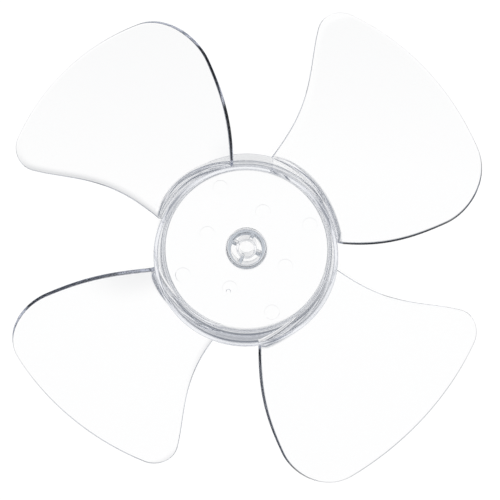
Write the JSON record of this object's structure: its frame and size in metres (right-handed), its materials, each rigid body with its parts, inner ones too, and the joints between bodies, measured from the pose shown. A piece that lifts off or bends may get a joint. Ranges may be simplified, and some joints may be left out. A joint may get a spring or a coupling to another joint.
{
  "type": "evaporator fan blade",
  "caption": "Clear moulded axial fan wheel: wide twisted blades round an open hub ring, with a ribbed boss that pushes onto a motor shaft.",
  "frame": {"origin": "on the shaft axis, at the front end of the shaft bore", "axes": "+Z along the shaft axis, out of the hub's open front, the side that faces away from the motor; the blades' middles lie at 40, 130, 220 and 310 degrees from +X"},
  "size_m": [0.1406, 0.1406, 0.0287],
  "materials": {
    "clear_plastic": "polished clear plastic"
  },
  "bodies": {
    "root": {"fan_blade": "clear_plastic"}
  },
  "joints": []
}
